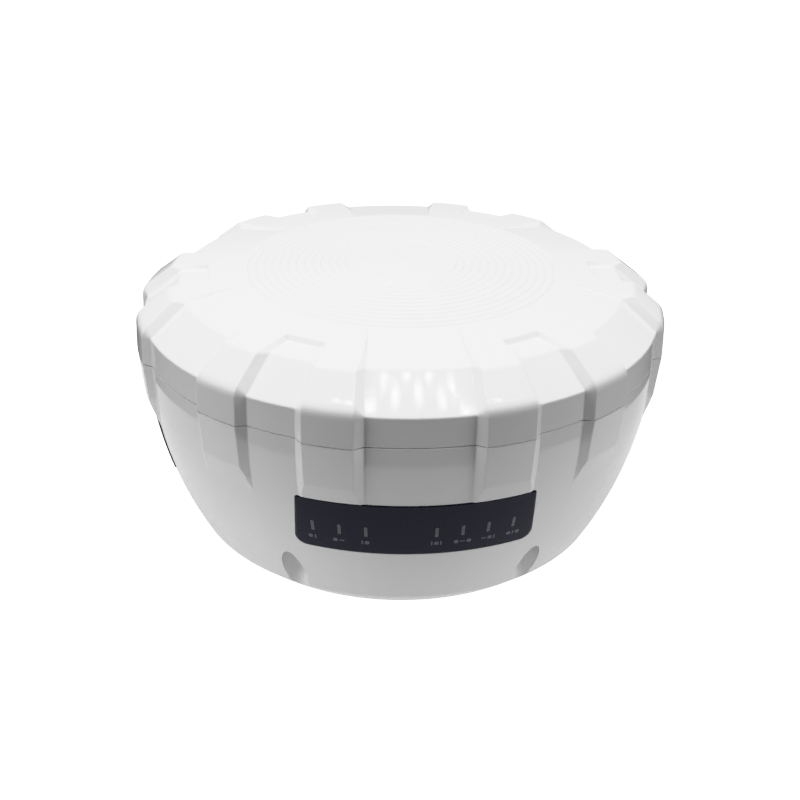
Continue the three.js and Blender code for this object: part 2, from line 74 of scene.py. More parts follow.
def turned_pair(first, second, degrees):
    """Two axes of the camera, turned in their own plane."""
    a = math.radians(degrees)
    return first * math.cos(a) - second * math.sin(a), first * math.sin(a) + second * math.cos(a)


def add_camera():
    azimuth, elevation = math.radians(VIEW_AZIMUTH), math.radians(VIEW_ELEVATION)
    back = Vector((
        math.sin(azimuth) * math.cos(elevation),
        -math.cos(azimuth) * math.cos(elevation),
        math.sin(elevation),
    ))
    right = Vector((math.cos(azimuth), math.sin(azimuth), 0))
    up = back.cross(right)
    up, ahead = turned_pair(up, -back, VIEW_TILT)
    right, ahead = turned_pair(right, ahead, VIEW_PAN)
    right, up = turned_pair(right, up, VIEW_ROLL)
    data = bpy.data.cameras.new("camera")
    data.lens, data.sensor_width = LENS, SENSOR
    data.clip_start, data.clip_end = 0.01, 20
    camera = bpy.data.objects.new("camera", data)
    place = Vector((0, 0, SEAM_Z)) + back * VIEW_DISTANCE
    turn = Matrix((right, up, -ahead)).transposed().to_4x4()
    camera.matrix_world = Matrix.Translation(place * MM) @ turn
    bpy.context.scene.collection.objects.link(camera)
    bpy.context.scene.camera = camera


add_camera()


# ------------------------------------------------------------------ meshes
def make_object(name, points, faces):
    """A smooth-shaded object from points in millimetres."""
    mesh = bpy.data.meshes.new(name)
    mesh.from_pydata([Vector(p) * MM for p in points], [], faces)
    mesh.validate()
    mesh.shade_smooth()
    piece = bpy.data.objects.new(name, mesh)
    bpy.context.scene.collection.objects.link(piece)
    return piece


def grid_faces(rows, columns, closed):
    """Quads between consecutive rows of points; closed joins the last column to the first."""
    faces = []
    for j in range(rows - 1):
        for i in range(columns if closed else columns - 1):
            k = (i + 1) % columns
            faces.append((j * columns + i, j * columns + k, (j + 1) * columns + k, (j + 1) * columns + i))
    return faces


def loft(name, rows):
    """A closed solid through rings of points; the first and last rings close onto their middles."""
    columns = len(rows[0])
    points = [p for row in rows for p in row]
    faces = grid_faces(len(rows), columns, closed=True)
    for start, order in ((0, 1), ((len(rows) - 1) * columns, -1)):
        middle = len(points)
        points.append(tuple(np.mean(rows[0 if start == 0 else -1], axis=0)))
        for i in range(columns):
            k = (i + 1) % columns
            faces.append((start + k, start + i, middle)[::order])
    return make_object(name, points, faces)


def polar(r, azimuth, z):
    a = math.radians(azimuth)
    return (r * math.sin(a), -r * math.cos(a), z)


def rounded(corners, arc=5):
    """A dense run through corners given as ((r, z), trim, steps): trim rounds the corner, and steps
    divides the straight that follows it. Also gives, for each point, its place as a corner number and a
    share."""
    out = []
    last = len(corners) - 1
    for i, ((r, z), trim, steps) in enumerate(corners):
        here = np.array((r, z), float)
        if i in (0, last):
            out.append((here, i))
            tail = here
        else:
            before = np.array(corners[i - 1][0], float)
            after = np.array(corners[i + 1][0], float)
            a = here + (before - here) * trim / np.linalg.norm(before - here)
            b = here + (after - here) * trim / np.linalg.norm(after - here)
            for k in range(arc + 1):
                t = k / arc
                point = (1 - t) ** 2 * a + 2 * t * (1 - t) * here + t * t * b
                out.append((point, i))
            tail = b
        if i < last:
            nxt = np.array(corners[i + 1][0], float)
            ahead = corners[i + 1][1] if i + 1 < last else 0
            head = nxt + (here - nxt) * ahead / np.linalg.norm(here - nxt)
            for k in range(1, steps):
                out.append((tail + (head - tail) * k / steps, i + k / steps))
    return out


# ------------------------------------------------------------------ outer form
def dome(r):
    return DOME_TOP - DOME_R + math.sqrt(DOME_R**2 - r**2)


def bowl(z):
    return WALL_R - BOWL_ARC + math.sqrt(BOWL_ARC**2 - (SEAM_Z - z) ** 2)


FLANK_ROUND = 0.1  # the share of a flank's width that its rounded edges take
FLANK_STEPS = (-1, -0.5, 0, 0.5, 1)


def flank_weight(t):
    """0 on the floor of a recess and 1 on the lug, a straight flank between them with rounded edges."""
    c = FLANK_ROUND
    if t > 0.5:
        return 1 - flank_weight(1 - t)
    if t <= -c:
        return 0
    return (t + c) ** 2 / (4 * c) if t < c else t


def sector_columns():
    """The columns of one 60 degree sector as (kind, weight, function from the edges to an azimuth)."""
    flank = [k * FLANK_ROUND for k in FLANK_STEPS]
    flank += [0.5] + [1 + k * FLANK_ROUND for k in FLANK_STEPS]
    half = []
    for k in range(6):
        half.append(("wide", 0, lambda e, s=k / 6: s * (e[0] - FLANK_ROUND * (e[1] - e[0]))))
    for t in flank:
        half.append(("wide", flank_weight(t), lambda e, t=t: e[0] + t * (e[1] - e[0])))
    for k in range(1, 5):
        half.append(("wide", 1, lambda e, s=k / 5: e[1] + s * (HALF_SECTOR - e[3] - e[1])))
    for t in reversed(flank):
        half.append(("narrow", flank_weight(t), lambda e, t=t: HALF_SECTOR - e[2] - t * (e[3] - e[2])))
    for k in range(3):
        half.append(("narrow", 0, lambda e, s=(k + 1) / 3: HALF_SECTOR - (1 - s) * e[2]))
    mirrored = [(kind, w, lambda e, at=at: 2 * HALF_SECTOR - at(e)) for kind, w, at in half[1:-1]]
    return half + mirrored[::-1]


def lugged(name, stations):
    """A closed solid of revolution with lugs. A station is (lug, wide, narrow, trim, steps, edges): the
    points over a lug and over the two kinds of recess, the trim of each, the steps to the next station,
    and the half-angles of the wide recess's floor and lug edge and of the narrow one's."""
    runs = {}
    for k, kind in enumerate(("lug", "wide", "narrow")):
        runs[kind] = rounded([(s[k], s[3][k], s[4]) for s in stations])
    edges = np.array([s[5] for s in stations], float)
    columns = sector_columns()
    rows = []
    for j, (lug_point, place) in enumerate(runs["lug"]):
        low = min(int(place), len(stations) - 1)
        high = min(low + 1, len(stations) - 1)
        e = edges[low] + (edges[high] - edges[low]) * (place - low)
        row = []
        for sector in range(6):
            for kind, weight, at in columns:
                r, z = runs[kind][j][0] * (1 - weight) + lug_point * weight
                row.append(polar(r, sector * 2 * HALF_SECTOR + at(e), z))
        rows.append(row)
    return loft(name, rows)


def same(point, trim, steps, edges):
    return (point, point, point, (trim,) * 3, steps, edges)


RIM = (10.84, 12.66, 5.42, 7.25)
GROOVES = 13
GROOVE_R = 56.2  # the outermost ring groove
GROOVE_PITCH = 2.98
GROOVE_HALF = 0.5
GROOVE_DEPTH = 0.5
FLUSH_R = 59  # where the wide recesses start to sink
FLUSH_EDGES = (14.55, 14.65, 5.2, 5.8)


def cover_stations():
    stations = [same((2, dome(2)), 0, 2, FLUSH_EDGES)]
    for k in reversed(range(GROOVES)):
        r = GROOVE_R - k * GROOVE_PITCH
        for offset, depth in ((-1, 0), (0, GROOVE_DEPTH), (1, 0)):
            at = r + offset * GROOVE_HALF
            stations.append(same((at, dome(at) - depth), 0.16, 1 if offset < 1 else 2, FLUSH_EDGES))
    stations.append(same((FLUSH_R, dome(FLUSH_R)), 0.4, 2, FLUSH_EDGES))
    boundary = (81.24, 96.27)
    end_floor = (71.8, 97)
    end_r, end_z = end_floor
    ledge_r = 77
    rise = boundary[1] - dome(FLUSH_R)
    fall = boundary[1] - end_z
    ledge = (ledge_r, end_z + fall * (ledge_r - end_r) / (boundary[0] - end_r))

    def on_dome(r):
        return r, dome(r)

    def on_floor(r):
        return r, dome(FLUSH_R) + rise * (r - FLUSH_R) / (boundary[0] - FLUSH_R)

    stations += [
        (on_dome(64.5), on_floor(64.5), on_dome(64.5), (1, 1, 1), 2, (13.8, 14.1, 5.2, 5.8)),
        (on_dome(70.5), on_floor(70.5), on_dome(70.5), (0.3, 0.3, 0.3), 1, (13, 13.6, 5.3, 6)),
        (on_dome(end_r), on_floor(end_r), end_floor, (0.3, 0.3, 0.3), 2, (12.9, 13.5, 5.42, 6.1)),
        (on_dome(ledge_r), on_floor(ledge_r), ledge, (1, 1, 1), 2, (12.3, 13.4, 5.42, 6.5)),
        ((85.35, 97), boundary, boundary, (1.2, 0.8, 0.8), 4, (11.95, 13.5, 5.42, 7.1)),
        ((97.2, 87.7), (94.7, 85.7), (94.7, 85.7), (3.0, 0.7, 0.7), 3, RIM),
        ((LUG_R, COVER_Z), (WALL_R, COVER_Z), (WALL_R, COVER_Z), (0.3, 0.3, 0.3), 1, RIM),
        same((88, COVER_Z), 0, 1, RIM),
    ]
    return stations


def housing_stations():
    lug_foot_z, lug_end_z = 59.4, 50.5
    stations = [
        same((88, HOUSING_Z), 0, 1, RIM),
        ((LUG_R, HOUSING_Z), (WALL_R, HOUSING_Z), (WALL_R, HOUSING_Z), (0.3, 0.3, 0.3), 2, RIM),
    ]
    lug_foot_r = 95.9
    for share in (1 / 3, 2 / 3, 1):
        z = HOUSING_Z + (lug_foot_z - HOUSING_Z) * share
        lug = (LUG_R + (lug_foot_r - LUG_R) * share, z)
        trim = 0.6 if share == 1 else 1.5
        stations.append((lug, (bowl(z), z), (bowl(z), z), (trim,) * 3, 2, RIM))
    middle = (lug_foot_z + lug_end_z) / 2
    lug = ((lug_foot_r + bowl(lug_end_z)) / 2, middle)
    recess = (bowl(middle), middle)
    stations.append((lug, recess, recess, (1,) * 3, 2, (10.84, 11.9, 5.42, 6.5)))
    below_lugs = (10.84, 11.1, 5.42, 5.7)
    stations.append(same((bowl(lug_end_z), lug_end_z), 0.8, 2, below_lugs))
    for z in range(46, 10, -5):
        stations.append(same((bowl(z), z), 1.2, 1, below_lugs))
    stations += [
        same((bowl(BOWL_FOOT_Z), BOWL_FOOT_Z), 1.2, 2, RIM),
        same((FOOT_R + 0.4, 0), 0.7, 1, RIM),
        same((60, 0), 0, 1, RIM),
    ]
    return stations


# ------------------------------------------------------------------ booleans
def face_outwards(piece):
    mesh = bmesh.new()
    mesh.from_mesh(piece.data)
    bmesh.ops.recalc_face_normals(mesh, faces=mesh.faces)
    if mesh.calc_volume(signed=True) < 0:
        bmesh.ops.reverse_faces(mesh, faces=mesh.faces)
    mesh.to_mesh(piece.data)
    mesh.free()
    return piece


def boolean(piece, operation, *tools):
    """Cuts, joins or intersects a piece with closed tools, which are used up."""
    for tool in tools:
        modifier = piece.modifiers.new("cut", "BOOLEAN")
        modifier.operation, modifier.object, modifier.solver = operation, tool, "MANIFOLD"
        mesh = bpy.data.meshes.new_from_object(piece.evaluated_get(bpy.context.evaluated_depsgraph_get()))
        piece.modifiers.clear()
        old, piece.data = piece.data, mesh
        bpy.data.meshes.remove(old)
        bpy.data.objects.remove(tool)
    return piece


def cut(piece, *tools):
    return boolean(piece, "DIFFERENCE", *tools)


def join(piece, *others):
    return boolean(piece, "UNION", *others)


def cad_copy(node):
    """A welded copy of a CAD node, to cut with."""
    copy = bpy.data.objects.new(node + "_copy", NODES[node].data.copy())
    bpy.context.scene.collection.objects.link(copy)
    weld = bmesh.new()
    weld.from_mesh(copy.data)
    bmesh.ops.remove_doubles(weld, verts=weld.verts, dist=1e-6)
    weld.to_mesh(copy.data)
    weld.free()
    return copy


def together(name, pieces):
    """One object from several that don't touch."""
    whole = bmesh.new()
    for piece in pieces:
        whole.from_mesh(piece.data)
        bpy.data.objects.remove(piece)
    mesh = bpy.data.meshes.new(name)
    whole.to_mesh(mesh)
    whole.free()
    piece = bpy.data.objects.new(name, mesh)
    bpy.context.scene.collection.objects.link(piece)
    return piece


def turned(name, profile, sides=96, wave=None):
    """A closed profile of (r, z), turned about the vertical axis. wave gives a change of r at
    (r, z, angle)."""
    ring = profile[0][0] > 0
    rows = []
    for r, z in profile if ring else profile[1:-1]:
        row = []
        for i in range(sides):
            angle = 360 * i / sides
            row.append(polar(r + (wave(r, z, angle) if wave else 0), angle, z))
        rows.append(row)
    if not ring:
        piece = loft(name, rows)
        piece.data.vertices[-2].co.z = profile[0][1] * MM
        piece.data.vertices[-1].co.z = profile[-1][1] * MM
        return face_outwards(piece)
    faces = grid_faces(len(rows), sides, closed=True)
    last = (len(rows) - 1) * sides
    faces += [(last + i, last + (i + 1) % sides, (i + 1) % sides, i) for i in range(sides)]
    return face_outwards(make_object(name, [p for row in rows for p in row], faces))


def place(piece, azimuth=0, radius=0, z=0):
    """Moves a piece out from the axis towards an azimuth, its own front facing outwards."""
    turn = Matrix.Rotation(math.radians(azimuth), 4, "Z")
    piece.data.transform(turn @ Matrix.Translation(Vector((0, -radius, z)) * MM))
    return piece


def facing(piece):
    """Turns a piece that stands on +Z so that it points outwards, along -Y."""
    piece.data.transform(Matrix.Rotation(math.pi / 2, 4, "X"))
    return piece


def post(radius, z0, z1, pitch=0, azimuth=0, sides=48):
    return place(turned("post", [(0, z0), (radius, z0), (radius, z1), (0, z1)], sides), azimuth, pitch)


def spoke(profile, z, azimuth, name="spoke", sides=48):
    """A profile of (radius, distance from the axis), turned about a line that runs outwards."""
    return place(facing(turned(name, profile, sides)), azimuth, 0, z)


def barrel(radius, half, front, z, sides=32):
    """A cylinder along X at a distance in front of the axis."""
    piece = turned("barrel", [(0, -half), (radius, -half), (radius, half), (0, half)], sides)
    piece.data.transform(Matrix.Rotation(math.pi / 2, 4, "Y"))
    return place(piece, 0, front, z)


def block(x, front, z, edge=0.0, name="block"):
    """A box between pairs of limits, front being the distance in front of the axis, with rounded edges."""
    corners = [(x[i], -front[j], z[k]) for i in (0, 1) for j in (0, 1) for k in (0, 1)]
    faces = [(0, 1, 3, 2), (4, 6, 7, 5), (0, 4, 5, 1), (2, 3, 7, 6), (0, 2, 6, 4), (1, 5, 7, 3)]
    piece = make_object(name, corners, faces)
    if edge:
        mesh = bmesh.new()
        mesh.from_mesh(piece.data)
        bmesh.ops.bevel(mesh, geom=mesh.edges[:], offset=edge * MM, segments=3, profile=0.5, affect="EDGES")
        mesh.to_mesh(piece.data)
        mesh.free()
    return face_outwards(piece)


# ------------------------------------------------------------------ pieces of the bowl's skin
def inside_distance(x, z, half, heights, corners):
    """How far a point lies inside a rectangle with rounded lower and upper corners."""
    below = z < sum(heights) / 2
    corner = corners[0] if below else corners[1]
    dx = abs(x) - (half - corner)
    dz = heights[0] + corner - z if below else z - (heights[1] - corner)
    if dx > 0 and dz > 0:
        return corner - math.hypot(dx, dz)
    return min(half - abs(x), z - heights[0], heights[1] - z)


def spaced(low, high, near, step):
    """Stations from low to high, crowded by the distances in near at both ends."""
    near = [d for d in near if d < 0.4 * (high - low)]
    count = max(1, round((high - low - 2 * near[-1]) / step))
    inner = [low + near[-1] + (high - low - 2 * near[-1]) * k / count for k in range(1, count)]
    return [low + d for d in near] + inner + [high - d for d in reversed(near)]


EDGE_SHARES = (0, 0.08, 0.2, 0.4, 0.7, 1)  # of an edge's radius, where its rounding has points


def leaf(name, half, heights, corners, inner, outer, edge=0.25, step=1.8, relief=None):
    """A piece of the bowl's skin between two distances from its surface. Its outline is a rectangle with
    rounded corners, and its outer edges are rounded. relief gives a change of the outer distance at
    (x, z)."""
    near = [share * edge for share in EDGE_SHARES]
    stations = set(spaced(-half, half, near, step))
    for corner in corners:
        for k in range(10):
            x = half - corner * (1 - math.sin(math.radians(10 * k)))
            stations.update((x, -x))
    columns = []
    for x in sorted(stations):
        if not columns or x - columns[-1] > 0.008 or x == half:
            columns.append(x)
    columns[-1] = half
    front, back = [], []
    tall = heights[1] - heights[0]
    levels = spaced(0, 1, [distance / tall for distance in near], step / tall)
    for x in columns:
        low, high = heights
        over = [max(0, abs(x) - (half - corner)) for corner in corners]
        low += corners[0] - math.sqrt(max(0, corners[0] ** 2 - over[0] ** 2))
        high -= corners[1] - math.sqrt(max(0, corners[1] ** 2 - over[1] ** 2))
        for level in levels:
            z = low + (high - low) * level
            inset = max(0, edge - max(0, inside_distance(x, z, half, heights, corners)))
            out = outer - edge + math.sqrt(edge**2 - inset**2)
            if relief:
                out += relief(x, z)
            for points, distance in ((front, out), (back, inner)):
                points.append((x, -math.sqrt((bowl(z) + distance) ** 2 - x**2), z))
    rows = len(front) // len(columns)
    faces = grid_faces(len(columns), rows, closed=False)
    total = len(front)
    faces += [tuple(total + i for i in face[::-1]) for face in faces]
    last = (len(columns) - 1) * rows
    rim = list(range(rows)) + [k * rows + rows - 1 for k in range(1, len(columns))]
    rim += [last + k for k in reversed(range(rows - 1))]
    rim += [k * rows for k in reversed(range(1, len(columns) - 1))]
    for i, here in enumerate(rim):
        after = rim[(i + 1) % len(rim)]
        faces.append((here, after, total + after, total + here))
    return face_outwards(make_object(name, front + back, faces))


# ------------------------------------------------------------------ the two shells
GAP = 0.3
SKIN_CUT = 1.4  # the outer skin is modelled to this depth, and the CAD part's inside lies behind it
PANEL_Z = (31.6, 52.8)
PANEL_CORNERS = (4, 0.8)
PANEL_DEPTH = 1.2
PANEL_PROUD = 0.35
REAR_AZIMUTH = 120
REAR_HALF_WIDTH = 67.5
PANELS = {
    "front_panel": (39.8, 0),
    "battery_panel": (REAR_HALF_WIDTH, -REAR_AZIMUTH),
    "key_panel": (REAR_HALF_WIDTH, REAR_AZIMUTH),
}
POCKET_R, POCKET_PITCH, POCKET_TOP = 4.5, 81, 61
SOCKET_AZIMUTHS = {"data_port": 150, "radio_port": -150}
SOCKET_PITCH = 51
SOCKET_WELL_R = 8.5
PLATE_R = 36


def widened(heights, by):
    return (heights[0] - by, heights[1] + by)


def hollow(shell, node, profile):
    """Gives a shell the inside of its CAD node, within a profile that lies in the middle of the wall."""
    return cut(shell, cut(turned("inside", profile), cad_copy(node)))


def make_cover():
    shell = face_outwards(lugged("cover_shell", cover_stations()))
    wall = [(0, 100.5), (50, 98.6), (71, 95.4), (80, 94), (92.6, 84.2), (92.6, 70), (0, 70)]
    return hollow(shell, "upper_cover", wall)


def make_housing():
    shell = face_outwards(lugged("housing_shell", housing_stations()))
    wall = [(bowl(z) - SKIN_CUT, z) for z in (7.5, *range(12, 73, 5), 73.2)]
    hollow(shell, "lower_housing", [(0, 1.75), (69.5, 1.75), *wall, (93.7, 73.3), (93.7, 80), (0, 80)])
    for half, azimuth in PANELS.values():
        corners = [corner + GAP for corner in PANEL_CORNERS]
        seat = leaf("seat", half + GAP, widened(PANEL_Z, GAP), corners, -PANEL_DEPTH - GAP, 15)
        cut(shell, place(seat, azimuth))
    for k in range(6):
        cut(shell, post(POCKET_R, -5, POCKET_TOP, POCKET_PITCH, 30 + 60 * k))
    cut(shell, post(PLATE_R + GAP, -5, 2, sides=96))
    for azimuth in SOCKET_AZIMUTHS.values():
        cut(shell, post(SOCKET_WELL_R, -5, 2, SOCKET_PITCH, azimuth))
    return shell


SHARP_ANGLE = 32
HOUSING_SHARP_ANGLE = 19  # so that the screw pockets keep a crisp edge where they run out


def adopt(piece, name, body, slot, *nodes):
    """A finished piece: its name, what it rides on, its finish and the CAD nodes that it stands for."""
    piece.name = name
    piece.data.shade_smooth()
    sharp = HOUSING_SHARP_ANGLE if name == "housing_shell" else SHARP_ANGLE
    piece.data.set_sharp_from_angle(angle=math.radians(sharp))
    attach(piece, body)
    if nodes:
        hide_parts(*nodes)
    PIECES[name] = (piece, slot)
    return piece


PIECES = {}
adopt(make_cover(), "cover_shell", "receiver", "white_plastic", "upper_cover")
adopt(make_housing(), "housing_shell", "receiver", "white_plastic", "lower_housing")

# ------------------------------------------------------------------ the front panel
LED_Z = 41.4
LED_X = (-34.2, -25.5, -16.8, 6.5, 15.3, 24, 32.7)
LED_HALF = 0.65
LED_HEIGHTS = (LED_Z - 2.2, LED_Z + 2.2)
MARK_Z = 36.6
MARK_HEIGHT = 1.8
MARK_SHAPES = {  # half width, share of the height, corner
    "disc": (0.8, 0.9, 0.75),
    "bar": (0.26, 1, 0.1),
    "dash": (0.85, 0.3, 0.1),
    "slab": (0.75, 0.8, 0.15),
}
MARKS = (
    ("disc", "bar"),
    ("slab", "dash"),
    ("bar", "disc"),
    ("bar", "slab", "bar"),
    ("disc", "dash", "disc"),
    ("dash", "slab", "bar"),
    ("slab", "bar", "disc"),
)


def on_bowl(x):
    """The azimuth of a point of the front panel at the height of the lights."""
    return math.degrees(math.asin(x / bowl(LED_Z)))


def make_front_panel():
    panel = leaf("panel", PANELS["front_panel"][0], PANEL_Z, PANEL_CORNERS, -PANEL_DEPTH, PANEL_PROUD)
    for x in LED_X:
        hole = leaf("hole", LED_HALF + 0.1, widened(LED_HEIGHTS, 0.1), (0.3, 0.3), -4, 2, 0.05)
        cut(panel, place(hole, on_bowl(x)))
    return panel


def make_marks():
    """A plain printed sign under each light, made of dots and bars."""
    pieces = []
    for x, shapes in zip(LED_X, MARKS):
        width = sum(2 * MARK_SHAPES[shape][0] for shape in shapes) + 0.5 * (len(shapes) - 1)
        left = -width / 2
        for shape in shapes:
            half, share, corner = MARK_SHAPES[shape]
            heights = (MARK_Z - MARK_HEIGHT * share / 2, MARK_Z + MARK_HEIGHT * share / 2)
            corner = min(corner, half - 0.02, MARK_HEIGHT * share / 2 - 0.02)
            proud = (PANEL_PROUD + 0.01, PANEL_PROUD + 0.05)
            mark = leaf("mark", half, heights, (corner, corner), *proud, edge=0.02, step=0.5)
            middle = left + half
            pieces.append(place(mark, math.degrees(math.asin((x + middle) / bowl(MARK_Z)))))
            left += 2 * half + 0.5
    return together("front_marks", pieces)


adopt(make_front_panel(), "front_panel_moulding", "receiver", "navy_panel", "front_panel")
adopt(make_marks(), "front_panel_marks", "receiver", "led_lens")
for k, x in enumerate(LED_X):
    depths = (-4.6, PANEL_PROUD - 0.03)
    window = leaf("window", LED_HALF, LED_HEIGHTS, (0.25, 0.25), *depths, edge=0.12, step=0.7)
    adopt(place(window, on_bowl(x)), f"led_lens_{k + 1}", "receiver", "led_lens", f"led_window_{k + 1}")

# ------------------------------------------------------------------ the rear panels and doors
DOOR_Z = (34.8, 51.4)
DOOR_CORNERS = (2, 0.6)
DOORS = {"battery": (-REAR_AZIMUTH, 31), "port": (134, 15)}
HINGE_Z = 33.4
HINGE_R = 1.2
HINGE_GROOVE_R = 1.8
HINGE_HALF = 8.4
HINGE_FRONT = bowl(HINGE_Z) + PANEL_PROUD - HINGE_R
PIN_R = 0.6
PIN_HALF = 10
PIN_HOLE_R = PIN_R + 0.15
LATCH_Z = 46.4
LATCH_FLOOR = bowl(LATCH_Z) + PANEL_PROUD - 0.9
LATCH_X = (-6.6, 2.4)
LATCH_RECESS = (7, 1.9)  # half its width and half its height
LATCH_RIBS = 5
LATCH_RIB_PITCH = 1.5
KEYS = {"power_key": 101, "function_key": 113}
KEY_R = 4.5
KEY_Z = 42.2
KEY_FACE = bowl(KEY_Z) + PANEL_PROUD
KEY_MARK_FRONT = KEY_FACE + 0.44
KEY_MARK_T = 0.12


def around(middle, half):
    return middle - half, middle + half


def make_rear_panel(name, door, keys=()):
    half, azimuth = PANELS[name]
    panel = place(leaf("panel", half, PANEL_Z, PANEL_CORNERS, -PANEL_DEPTH, PANEL_PROUD), azimuth)
    door_azimuth, door_half = DOORS[door]
    corners = [corner + GAP for corner in DOOR_CORNERS]
    tools = [
        leaf("hole", door_half + GAP, widened(DOOR_Z, GAP), corners, -PANEL_DEPTH - 1, 5, 0.1),
        barrel(HINGE_GROOVE_R, HINGE_HALF + GAP, HINGE_FRONT, HINGE_Z),
        block((-HINGE_HALF - GAP, HINGE_HALF + GAP), (HINGE_FRONT, 100), (PANEL_Z[0] - 1, DOOR_Z[0])),
        barrel(PIN_HOLE_R, PIN_HALF + GAP, HINGE_FRONT, HINGE_Z),
    ]
    cut(panel, *(place(tool, door_azimuth) for tool in tools))
    for key in keys:
        cut(panel, spoke([(0, 80), (KEY_R + GAP, 80), (KEY_R + GAP, 100), (0, 100)], KEY_Z, KEYS[key]))
    return panel


def make_door(half, relief=None):
    door = leaf("door", half, DOOR_Z, DOOR_CORNERS, -PANEL_DEPTH, PANEL_PROUD, relief=relief)
    web = block((-HINGE_HALF, HINGE_HALF), (HINGE_FRONT + 0.1, HINGE_FRONT + 1), (HINGE_Z, HINGE_Z + 1.7))
    join(door, web, barrel(HINGE_R, HINGE_HALF, HINGE_FRONT, HINGE_Z))
    return cut(door, barrel(PIN_HOLE_R, HINGE_HALF + 1, HINGE_FRONT, HINGE_Z))


def make_battery_door():
    door = make_door(DOORS["battery"][1])
    half, half_height = LATCH_RECESS
    recess = block((-half, half), (LATCH_FLOOR, 110), around(LATCH_Z, half_height))
    return place(cut(door, recess), DOORS["battery"][0])


def make_latch():
    fronts = (LATCH_FLOOR + 0.2, LATCH_FLOOR + 1.2)
    rib_fronts = (fronts[1] - 0.3, fronts[1] + 0.38)
    latch = block(LATCH_X, fronts, around(LATCH_Z, 1.5), 0.25)
    for k in range(LATCH_RIBS):
        x = -5.1 + LATCH_RIB_PITCH * k
        join(latch, block(around(x, 0.35), rib_fronts, around(LATCH_Z, 1.2), 0.2))
    return place(latch, DOORS["battery"][0])


def make_port_door():
    door = make_door(DOORS["port"][1])
    depth = bowl(LATCH_Z) - 0.2
    notch = spoke([(0, depth), (4, depth), (5, depth + 0.6), (5, 110), (0, 110)], DOOR_Z[1] + 1.5, 0)
    return place(cut(door, notch), DOORS["port"][0])


def make_key(azimuth):
    dish = [(KEY_R - 0.6 - 0.6 * k, KEY_FACE + 0.7 - 0.05 * k) for k in range(5)]
    edge = [
        (KEY_R - 0.6 + 0.6 * math.sin(math.radians(a)), KEY_FACE + 0.1 + 0.6 * math.cos(math.radians(a)))
        for a in (15, 35, 55, 75, 90)
    ]
    profile = [(0, KEY_FACE - 6), (1.5, KEY_FACE - 6), (1.5, KEY_FACE - 1.5), (KEY_R, KEY_FACE - 1.5)]
    profile += [*reversed(edge), *dish, (0, KEY_FACE + 0.48)]
    return spoke(profile, KEY_Z, azimuth, sides=64)


def arc_mark(radius, width, start, end, z, front):
    """A flat arc of a ring that faces outwards, by angles from the top."""
    steps = 28
    points = []
    for k in range(steps + 1):
        a = math.radians(start + (end - start) * k / steps)
        for r in (radius - width / 2, radius + width / 2):
            for distance in (front, front + KEY_MARK_T):
                points.append((r * math.sin(a), -distance, z + r * math.cos(a)))
    faces = [(0, 1, 3, 2), (4 * steps, 4 * steps + 2, 4 * steps + 3, 4 * steps + 1)]
    for k in range(steps):
        for i, j in ((0, 1), (1, 3), (3, 2), (2, 0)):
            faces.append((4 * k + i, 4 * k + j, 4 * k + 4 + j, 4 * k + 4 + i))
    return face_outwards(make_object("arc", points, faces))


def make_power_mark():
    fronts = (KEY_MARK_FRONT, KEY_MARK_FRONT + KEY_MARK_T)
    pieces = [
        arc_mark(1.5, 0.36, 35, 325, KEY_Z, KEY_MARK_FRONT),
        block((-0.18, 0.18), fronts, (KEY_Z + 0.5, KEY_Z + 2.1)),
    ]
    return place(together("mark", pieces), KEYS["power_key"])


def make_function_mark():
    fronts = (KEY_MARK_FRONT, KEY_MARK_FRONT + KEY_MARK_T)
    bars = [block((-1.4, 1.4), fronts, around(z, 0.18)) for z in (KEY_Z - 1, KEY_Z, KEY_Z + 1)]
    return place(together("mark", bars), KEYS["function_key"])


for name, door, keys in (("battery_panel", "battery", ()), ("key_panel", "port", KEYS)):
    adopt(make_rear_panel(name, door, keys), name + "_moulding", "receiver", "navy_panel", name)
adopt(make_battery_door(), "battery_door_leaf", "battery_door", "navy_panel", "battery_door")
adopt(make_latch(), "battery_door_slider", "battery_latch", "black_plastic", "battery_door_latch")
adopt(make_port_door(), "port_door_leaf", "port_door", "navy_panel", "port_door")
for key, azimuth in KEYS.items():
    adopt(make_key(azimuth), key + "_cap", key, "black_rubber", key)
adopt(make_power_mark(), "power_key_mark", "power_key", "led_lens")
adopt(make_function_mark(), "function_key_mark", "function_key", "led_lens")

# ------------------------------------------------------------------ the battery
MOUTH_INSET = 3.7
BATTERY_Z = (38.3, 48.1)
BATTERY_FRONTS = (18.5, 82)


def make_battery():
    half = DOORS["battery"][1] - MOUTH_INSET - 0.4
    battery = block((-half, half), BATTERY_FRONTS, BATTERY_Z, 0.8)
    front = BATTERY_FRONTS[1]
    cut(battery, block((-half - 1, half + 1), (front - 6.4, front - 5.8), widened(BATTERY_Z, 1)))
    neck = 0.6  # the depth of the groove round the case, behind its front
    sides = (-half + neck, half - neck)
    heights = (BATTERY_Z[0] + neck, BATTERY_Z[1] - neck)
    join(battery, block(sides, (front - 7, front - 5), heights))
    for x in (-18, 18):
        cut(battery, block(around(x, 5), around(front, 1), (41.2, 45.2), 0.4))
    return place(battery, DOORS["battery"][0])


adopt(make_battery(), "battery_case", "receiver", "black_plastic", "battery_pack")

# ------------------------------------------------------------------ the underside
THREAD_R = 7
THREAD_PITCH = 25.4 / 11
THREAD_HEIGHT = 0.75
THREAD_Z = (1, 20)  # between its two ends
THREAD_ROWS = 64
INSERT_R = 13
PLATE_T = 4
PLATE_PITCH = 27
PLATE_HOLE_R = 1.9
PLATE_SINK = (3.4, 2.4)  # radius and depth of the recess for a screw's head
FLOOR_Z = 8.3
CAP_SIDE_R = 7.3  # the ribs lie outside it
CAP_RIBS = 24
CAP_RIB_DEPTH = 0.14


